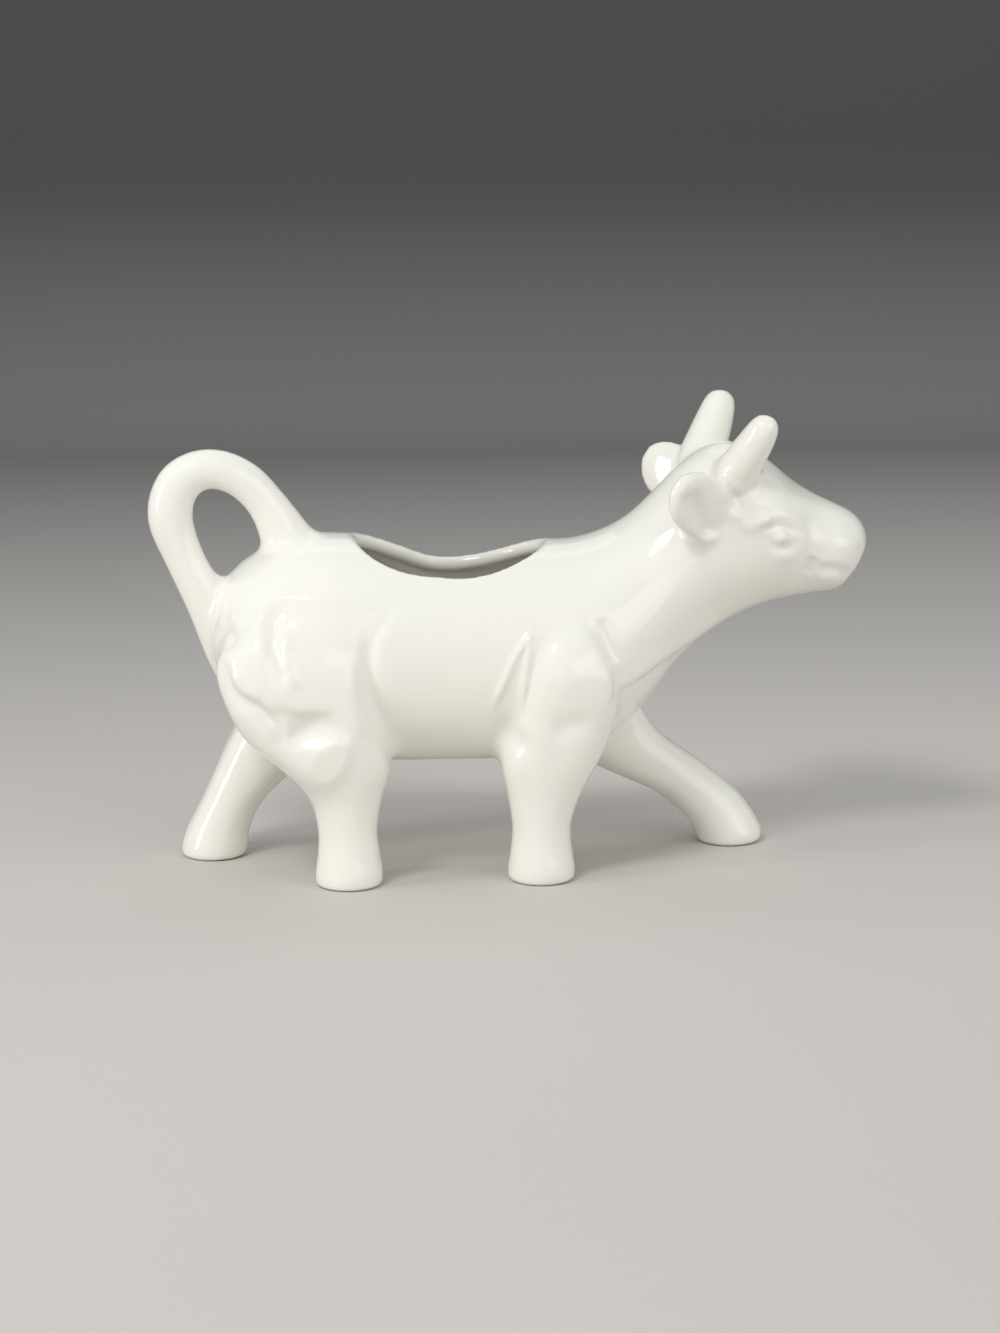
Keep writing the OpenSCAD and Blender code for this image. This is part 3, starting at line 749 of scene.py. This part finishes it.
def groove(path, depth, gentle, steep, fade):
    """Presses the clay in, with a gentle slope on a stroke's right side and a steep one on its left."""
    return worked(path, 3 * gentle, lambda distance, side, share:
                  -depth * falloff(distance, np.where(side > 0, gentle, steep)) * ends(share, fade))


def crease(path, height, width, crisp, fade=0.2):
    """Raises the right side of a stroke and presses in its left side, with a sharp turn between."""
    return worked(path, 3 * width, lambda distance, side, share: height
                  * np.tanh(side * distance / crisp) * falloff(distance, width) * ends(share, fade))


def moved(part, strokes):
    """Adds up a part's strokes."""
    heights = sum(strokes)
    print(f"The {part}'s strokes move the clay by {heights.min():.2f} to {heights.max():.2f} mm")
    return heights


# %% The muscles of the haunch
# Paths are places on the photograph, in its pixels. Heights are in millimetres, widths in pixels.
haunch_front = [(412, 590), (389, 614), (374, 635), (368.5, 658), (368, 676), (372, 699), (381, 722),
                (389, 745), (395, 766)]
haunch_shelf = [(345, 645), (351, 672), (353, 696), (359, 722), (367, 740)]
hip_line = [(256, 652), (256, 635), (260, 617), (269, 604), (280, 597), (297, 598), (339, 600),
            (374, 596)]
hip_hollow = [(279, 603), (275, 620), (273.5, 637), (275, 656), (280, 677), (290, 690)]
hip_rise = [(283, 628), (285, 650), (289.5, 673), (298, 692)]
hamstring = [(221, 650), (223, 664), (229, 684), (238, 696), (258, 708), (269, 718), (278, 728),
             (284, 745), (293, 766)]
thigh_fold = [(258, 708), (278, 715), (300, 720), (322, 720), (344, 714)]
buttock = [(232, 668), (243, 688), (262, 702)]
rump_fold = [(226, 603), (222, 614), (217, 630)]
rump_rise = [(229, 613), (236, 621), (244, 625)]
rump_dimple = [(229, 640)]
haunch = moved("haunch", [
    groove(haunch_front, 1.3, 13, 7, fade=0.4),
    ridge(haunch_shelf, 0.5, 10),
    ridge(hip_hollow, -1.2, 8.5),
    ridge(hip_rise, 0.55, 6),
    ridge(hip_line, 0.4, 7),
    groove(hamstring, 1.1, 10, 5, fade=0.25),
    ridge(buttock, 0.4, 9),
    groove(thigh_fold, 0.9, 12, 7, fade=0.35),
    ridge(rump_dimple, -0.8, 9),
    ridge(rump_fold, 0.35, 4),
    ridge(rump_rise, 0.4, 5),
])

# %% The muscles of the shoulder
facet_rear = [(532, 629), (515, 658), (504, 682), (495, 703), (490, 716)]
facet_front = [(532, 629), (528, 655), (525, 679), (520, 716), (519, 726)]
elbow_ridge = [(517, 712), (528, 728), (538, 741), (556, 766)]
elbow_hollow = [(499, 714), (514, 736), (532, 762)]
forearm_fold = [(546, 732), (562, 729), (580, 725), (604, 716)]
neck_fold = [(600, 612), (604, 625), (611, 646), (618, 664), (624, 684)]
neck_line = [(724, 619), (709, 630), (675, 653), (655, 667), (631, 686), (618, 698)]
forearm_front = [(608, 716), (616, 702), (619, 690), (617, 677), (611, 664)]
shoulder_swell = [(568, 676)]
shoulder = moved("shoulder", [
    ridge(shoulder_swell, 1.3, 30),
    ridge(elbow_ridge, 0.25, 10, fade=0.35),
    ridge(elbow_hollow, -0.45, 10, fade=0.35),
    ridge(forearm_fold, -0.6, 12, fade=0.35),
    groove(neck_fold, 1.3, 12, 6, fade=0.4),
    groove(forearm_front, 1.2, 14, 5, fade=0.35),
    crease(neck_line, 0.6, 10, crisp=3),
])

# %% The face
brow = [(752, 527), (765, 517), (782, 513), (797, 517), (807, 527)]
eye = [(782, 538)]
upper_lid = [(757, 530), (768, 528), (779, 526), (789, 529), (795, 538)]
lower_lid = [(757, 530), (767, 541), (777, 548), (788, 547), (795, 538)]
under_eye = [(766, 550), (777, 557), (791, 557), (801, 549), (805, 537), (802, 526)]
muzzle_band = [(818, 504), (813, 528), (812, 548), (812, 563)]
mouth_line = [(857, 571), (848, 570), (835, 567), (822, 566), (810, 568)]
mouth_corner = [(814, 556), (811, 565), (806, 575)]
lower_lip = [(816, 577), (830, 578), (844, 577)]
muzzle_swell, chin_hollow = [(838, 543)], [(804, 578)]
horn_fold = [(732, 488), (737, 502), (741, 515)]
temple = [(741, 530), (752, 525), (764, 521), (774, 519)]
ear_hollow = [(690, 490), (697, 506), (706, 524), (714, 540)]
ear_lobe = [(716, 484), (728, 497), (733, 512), (729, 526)]
horn_root = [(722, 474), (734, 486), (746, 492)]
face = moved("face", [
    ridge(upper_lid, -0.45, 4.5),
    ridge(lower_lid, -0.45, 4.5),
    ridge(eye, 0.75, 5),
    ridge(brow, 0.3, 7),
    ridge(under_eye, 0.2, 5),
    ridge(muzzle_band, -0.45, 12),
    ridge(muzzle_swell, 0.9, 17),
    crease(mouth_line, 0.4, 9, crisp=5, fade=0.35),
    ridge(mouth_line, -0.35, 6, fade=0.35),
    ridge(mouth_corner, -0.9, 6),
    ridge(lower_lip, 0.35, 6),
    ridge(chin_hollow, -0.3, 6),
    ridge(horn_fold, -0.7, 5),
    ridge(temple, 0.8, 7),
    ridge(ear_hollow, -1.6, 9, fade=0.2, power=2.5),
    ridge(ear_lobe, 0.7, 9, fade=0.3),
    ridge(horn_root, 0.4, 5),
])
co = co + ((haunch + shoulder + face) * facing)[:, None] * point_normals(co)

# %% [markdown]
# ## Scraped planes
# Behind the shoulder and on the knee the modeller has drawn a straight scraper over the clay, which
# leaves flat planes with crisp edges that catch the light. A ridge beside a groove would look soft, so
# the clay is moved onto a flat sheet, and behind the shoulder its edges are raised.

# %% Helpers for scraping


def point_at(co, spot):
    """The number of the near flank's point that the photograph shows at a pixel."""
    near_side = np.flatnonzero((co[:, 1] < 0) & (facing > 0.2))
    return near_side[np.argmin(np.hypot(*(places[near_side] - spot).T))]


def pushed(co, outwards, tool):
    """Moves points away from the jug's middle plane, on both sides."""
    print(f"The {tool} moves the clay by {outwards.min():.2f} to {outwards.max():.2f} mm")
    away = outwards * np.where(co[:, 1] > 0, 1, -1)
    return co + np.stack([0 * away, away, 0 * away], axis=1)


# %% The plane behind the shoulder
SIDE_BLUR, TOP_BLUR, FOOT_BLUR, GLINT_FOOT_BLUR = (-0.05, 0.03), (-0.03, 0.1), (0, 0.5), (0, 0.3)
GLINT_PIXELS, GLINT_HEIGHT, PLANE_LEVELS = 3, 0.8, 24


def plane_between(co, rear, front):
    """Scrapes a plane between two strokes that run down, and lifts its edges a little."""
    levels = np.linspace(rear[0][1] + 2, rear[-1][1], PLANE_LEVELS)
    across, depth = [], []
    for path in (rear, front):
        line = np.array([smooth_row(path, i / 8) for i in range(8 * (len(path) - 1) + 1)])
        edge = np.interp(levels, line[:, 1], line[:, 0])
        across.append(np.interp(places[:, 1], levels, edge))
        touch = [point_at(co, spot) for spot in zip(edge, levels)]
        depth.append(np.interp(places[:, 1], levels, co[touch, 1]))
    share = (places[:, 0] - across[0]) / (across[1] - across[0])
    inside = smoothstep(*SIDE_BLUR, share) * smoothstep(*SIDE_BLUR, 1 - share)
    down = (places[:, 1] - levels[0]) / (levels[-1] - levels[0])
    inside = inside * smoothstep(*TOP_BLUR, down) * smoothstep(*FOOT_BLUR, 1 - down) * (facing > 0)
    goal = mix(depth[0], depth[1], np.clip(share, 0, 1))
    off_rear, off_front = (falloff(places[:, 0] - edge, GLINT_PIXELS) for edge in across)
    lift = GLINT_HEIGHT * (off_rear + off_front)
    lift = lift * smoothstep(*TOP_BLUR, down) * smoothstep(*GLINT_FOOT_BLUR, 1 - down) * (facing > 0)
    return pushed(co, lift - inside * (goal + np.abs(co[:, 1])), "scraper behind the shoulder")


co = plane_between(co, facet_rear, facet_front)

# %% The plane on the knee
knee, KNEE_RADIUS = (316, 744), 5.0
KNEE_RISES, KNEE_TURNS, KNEE_SINK = 0.63, 0.33, 0.2
# Shares of the radius: how deep the plane goes on below the knee, how wide it fades down and across,
# and the most that it may raise the clay
STEEP_DOWN_TO, FADE_BELOW, FADE_ACROSS, MOST_RAISED = 0.3, 1.8, 1.3, 0.2


def scraped(co, spot, radius, rises, turns, sink):
    """Scrapes a flat place round a spot. It leans back as it rises and turns towards the tail."""
    middle = co[point_at(co, spot)]
    seen = near_view(co)
    across, up = seen[:, 0] - middle[0], seen[:, 2] - middle[2]
    goal = middle[1] + sink + rises * np.maximum(up, -STEEP_DOWN_TO * radius) - turns * across
    spread = np.where(up < 0, FADE_BELOW * radius, radius)
    share = np.exp(-((across / (FADE_ACROSS * radius)) ** 2 + (up / spread) ** 2) ** 1.5) * facing
    inwards = np.maximum(share * (goal - seen[:, 1]), -MOST_RAISED * radius)
    return pushed(co, -inwards, "scraper on the knee")


co = scraped(co, knee, KNEE_RADIUS, KNEE_RISES, KNEE_TURNS, KNEE_SINK)

# %% A last light sponge, and flat feet
FOOT_FLAT_BELOW = 0.12
co = sponge(co, 2)
co[:, 2] = np.where(co[:, 2] < FOOT_FLAT_BELOW, 0, co[:, 2])
print("Points that face down:", (point_normals(co)[:, 2] < -0.99).sum())
skin.data.shade_smooth()

# %% [markdown]
# ## Sharing the skin out among the pieces
# The fired jug is one skin, but the library keeps its pieces apart. They could be pushed into each
# other unjoined, but then no joint would be soft. So each piece takes the skin round its own clay and
# a little more, so that the cut runs beside the joint and not in it. The pieces keep the whole skin's
# normals, so that no cut shows in the glaze.

# %% Helper that takes a piece out of the skin
MARGIN, BED = 1.5, 1.2


def taken(rest, region):
    """The part of the skin inside a region, as an object. The rest loses it."""
    piece = new_object("piece", rest.data.copy())
    boolean(piece, region, "INTERSECT")
    boolean(rest, region, "DIFFERENCE")
    return piece


core = as_object("core", grown(body, -BED))
rest = new_object("rest", skin.data.copy())
pieces = {}
for name, shape in clay.items():
    region = as_object("region", grown(shape, MARGIN))
    boolean(region, core, "DIFFERENCE")
    pieces[name] = taken(rest, region)
    bpy.data.objects.remove(region)
print("Left for the trunk and the head:", len(rest.data.vertices), "points")

# %% Part the trunk from the neck and head
AHEAD_SIZE = 200
top_x, top_z, low_x, low_z = smooth_row(body_rows, JOINT_PLACE)[:4]
lean = math.atan2(top_x - low_x, top_z - low_z)
ahead = bmesh.new()
bmesh.ops.create_cube(ahead, size=AHEAD_SIZE)
bmesh.ops.translate(ahead, verts=ahead.verts, vec=(AHEAD_SIZE / 2, 0, 0))
bmesh.ops.rotate(ahead, verts=ahead.verts, cent=(0, 0, 0), matrix=Matrix.Rotation(lean, 3, "Y"))
bmesh.ops.translate(ahead, verts=ahead.verts, vec=(top_x, 0, top_z))
region = as_object("region", ahead)
pieces["neck_and_head_shell"] = taken(rest, region)
pieces["barrel_shell"] = rest
bpy.data.objects.remove(region)
bpy.data.objects.remove(core)
for name, piece in pieces.items():
    print(name, len(piece.data.vertices), "points")

# %% [markdown]
# ## The glaze
# Porcelain is a white, slightly warm clay under a clear glaze. A glass shell over a clay core would be
# truer, but one shader shows the same: a soft white with faint clouds in it, and over it a sharp
# reflection that wavers a little where the glaze ran. The feet are wiped clean before firing, so that
# the jug doesn't stick to the kiln shelf: there the bare, matt biscuit shows. All of it reads Object
# coordinates, in metres, so the pattern runs on from piece to piece.

# %% Helpers for materials


def new_material(name):
    """A new material with its nodes and links."""
    material = bpy.data.materials.new(name)
    material.use_nodes = True
    return material, material.node_tree.nodes, material.node_tree.links


def noise(nodes, links, coordinates, scale, detail):
    """A soft cloudy pattern of so many clouds to the metre."""
    node = nodes.new("ShaderNodeTexNoise")
    node.inputs["Scale"].default_value = scale
    node.inputs["Detail"].default_value = detail
    links.new(coordinates, node.inputs["Vector"])
    return node.outputs["Fac"]


def ranged(nodes, links, value, low, high, to_low, to_high):
    """Stretches a value from one range to another."""
    node = nodes.new("ShaderNodeMapRange")
    sockets = ("From Min", "From Max", "To Min", "To Max")
    for socket, number in zip(sockets, (low, high, to_low, to_high)):
        node.inputs[socket].default_value = number
    links.new(value, node.inputs["Value"])
    return node.outputs["Result"]


def mixed(nodes, links, share, a, b):
    """Mixes two colours, given or from other nodes."""
    node = nodes.new("ShaderNodeMix")
    node.data_type = "RGBA"
    links.new(share, node.inputs["Factor"])
    for socket, value in ((node.inputs[6], a), (node.inputs[7], b)):
        if isinstance(value, tuple):
            socket.default_value = (*value, 1)
        else:
            links.new(value, socket)
    return node.outputs[2]


# %% Glazed porcelain
GLAZE_WHITE = (0.865, 0.85, 0.775)
GLAZE_CLOUD = (0.845, 0.835, 0.765)
BISCUIT = (0.74, 0.70, 0.62)
GLOSSIEST, DULLEST, BISCUIT_ROUGHER = 0.05, 0.11, 0.5
BARE_BELOW, GLAZED_ABOVE = 0.0002, 0.0005
CLOUDS_SCALE, GLOSS_SCALE, WAVER_SCALE = 28, 60, 130
porcelain, nodes, links = new_material("porcelain_glaze")
shader = nodes["Principled BSDF"]
place = nodes.new("ShaderNodeTexCoord").outputs["Object"]
clouds = ranged(nodes, links, noise(nodes, links, place, CLOUDS_SCALE, 3), 0.35, 0.65, 0, 1)
colour = mixed(nodes, links, clouds, GLAZE_WHITE, GLAZE_CLOUD)
height = nodes.new("ShaderNodeSeparateXYZ")
links.new(place, height.inputs[0])
bare = ranged(nodes, links, height.outputs["Z"], BARE_BELOW, GLAZED_ABOVE, 1, 0)
colour = mixed(nodes, links, bare, colour, BISCUIT)
links.new(colour, shader.inputs["Base Color"])
gloss = noise(nodes, links, place, GLOSS_SCALE, 2)
gloss = ranged(nodes, links, gloss, 0.3, 0.7, GLOSSIEST, DULLEST)
roughness = nodes.new("ShaderNodeMath")
roughness.operation = "MULTIPLY_ADD"
links.new(bare, roughness.inputs[0])
roughness.inputs[1].default_value = BISCUIT_ROUGHER
links.new(gloss, roughness.inputs[2])
links.new(roughness.outputs[0], shader.inputs["Roughness"])
shader.inputs["IOR"].default_value = 1.52
waver = nodes.new("ShaderNodeBump")
waver.inputs["Strength"].default_value = 0.12
waver.inputs["Distance"].default_value = 0.0004
links.new(noise(nodes, links, place, WAVER_SCALE, 1), waver.inputs["Height"])
links.new(waver.outputs["Normal"], shader.inputs["Normal"])
print("Materials:", porcelain.name)

# %% Finish the pieces
NORMALS_REACH = 0.05


def add_whole_normals(piece):
    """Gives a piece the normals of the whole skin where it lies on it."""
    modifier = piece.modifiers.new("normals", "DATA_TRANSFER")
    modifier.object = skin
    modifier.use_loop_data = True
    modifier.data_types_loops = {"CUSTOM_NORMAL"}
    modifier.loop_mapping = "POLYINTERP_NEAREST"
    modifier.use_max_distance = True
    modifier.max_distance = NORMALS_REACH
    return applied(piece)


for name, piece in pieces.items():
    piece.name = "fired_" + name
    piece.data.shade_smooth()
    add_whole_normals(piece)
    piece.data.transform(Matrix.Scale(MM, 4))
    piece.data.materials.clear()
    piece.data.materials.append(porcelain)
    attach(piece, "root")
    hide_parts(name)
bpy.data.objects.remove(skin)
print("Finished", len(pieces), "pieces")

# %% [markdown]
# ## The studio
# The jug stands on one sheet of pale paper that sweeps up into a wall. Painted shade makes the paper
# darker towards the back and up the wall, so that the rim stands out. A picture of a room could light
# it, but a few soft lamps can be placed one by one. The window, high on the left, makes the small sharp
# patches that say the jug is glazed. The side window skims along the flank and draws the edges of the
# tool marks. A wide fill in front and one behind keep the shadows pale, and the sky does the rest.

# %% Table and wall
PAPER, PAPER_GRAIN = (0.62, 0.595, 0.56), (0.65, 0.625, 0.59)
# Painted shade: darker paper colours for the back of the table and for the wall
PAPER_SHADED_FAR, PAPER_SHADED_WALL = (0.24, 0.235, 0.23), (0.1, 0.1, 0.105)
SHEET, SHEET_FRONT, SWEEP_AT, SWEEP_RADIUS, WALL_HIGH = 1.5, 0.7, 0.8, 0.15, 1.2
stage_material, nodes, links = new_material("pale_paper")
shader = nodes["Principled BSDF"]
shader.inputs["Roughness"].default_value = 0.8
place = nodes.new("ShaderNodeTexCoord").outputs["Object"]
paper = mixed(nodes, links, noise(nodes, links, place, 6, 4), PAPER, PAPER_GRAIN)
behind = nodes.new("ShaderNodeSeparateXYZ")
links.new(place, behind.inputs[0])
# Painted shade: the paper turns darker towards the back of the table
far = ranged(nodes, links, behind.outputs["Y"], 0.1, 0.8, 0, 1)
paper = mixed(nodes, links, far, paper, PAPER_SHADED_FAR)
# Painted shade: the paper turns darker again as it rises into the wall
shade = ranged(nodes, links, behind.outputs["Z"], 0.0, 0.12, 0, 1)
links.new(mixed(nodes, links, shade, paper, PAPER_SHADED_WALL), shader.inputs["Base Color"])
bm = bmesh.new()
bmesh.ops.create_grid(bm, x_segments=1, y_segments=1, size=SHEET)
bmesh.ops.translate(bm, verts=bm.verts, vec=(0, -SHEET_FRONT, 0))
back_edge = [e for e in bm.edges if all(v.co.y > 0 for v in e.verts)]
bmesh.ops.spin(bm, geom=back_edge, cent=(0, SWEEP_AT, SWEEP_RADIUS), axis=(1, 0, 0),
               angle=math.radians(90), steps=16)
top_edge = [e for e in bm.edges if all(v.co.z > 0.99 * SWEEP_RADIUS for v in e.verts)]
raised = bmesh.ops.extrude_edge_only(bm, edges=top_edge)["geom"]
wall_top = [g for g in raised if isinstance(g, bmesh.types.BMVert)]
bmesh.ops.translate(bm, verts=wall_top, vec=(0, 0, WALL_HIGH))
paper_sweep = as_object("paper_sweep", bm)
paper_sweep.data.shade_smooth()
paper_sweep.data.materials.append(stage_material)
print("Stage is ready")

# %% Lights


def soft_light(name, location, target, size, power, spread=180):
    """A flat lamp that is aimed at a place. Spread is the angle in which it shines."""
    data = bpy.data.lights.new(name, "AREA")
    data.spread = math.radians(spread)
    data.shape = "RECTANGLE"
    data.size, data.size_y = size
    data.energy = power
    obj = new_object(name, data)
    obj.location = location
    obj.rotation_euler = (Vector(target) - Vector(location)).to_track_quat("-Z", "Y").to_euler()
    obj.visible_camera = False


MIDDLE, MIDDLE_UPPER = (0, 0, 0.05), (0, 0, 0.06)
SKY, SKY_STRENGTH = (0.98, 0.99, 1.0, 1), 0.52
soft_light("window", (-0.37, -0.52, 0.74), MIDDLE, (0.22, 0.17), 2.8)
soft_light("back_fill", (0.2, 0.7, 0.9), MIDDLE, (0.9, 0.7), 1.6)
soft_light("side_window", (-0.9, -0.32, 0.27), MIDDLE_UPPER, (0.2, 0.5), 0.34, spread=60)
soft_light("front_fill", (0.85, -0.92, 0.38), MIDDLE, (1.5, 0.8), 1.6, spread=90)
world = bpy.data.worlds.new("studio")
scene.world = world
world.use_nodes = True
sky = world.node_tree.nodes["Background"]
sky.inputs["Color"].default_value = SKY
sky.inputs["Strength"].default_value = SKY_STRENGTH
scene.view_settings.view_transform = "Standard"
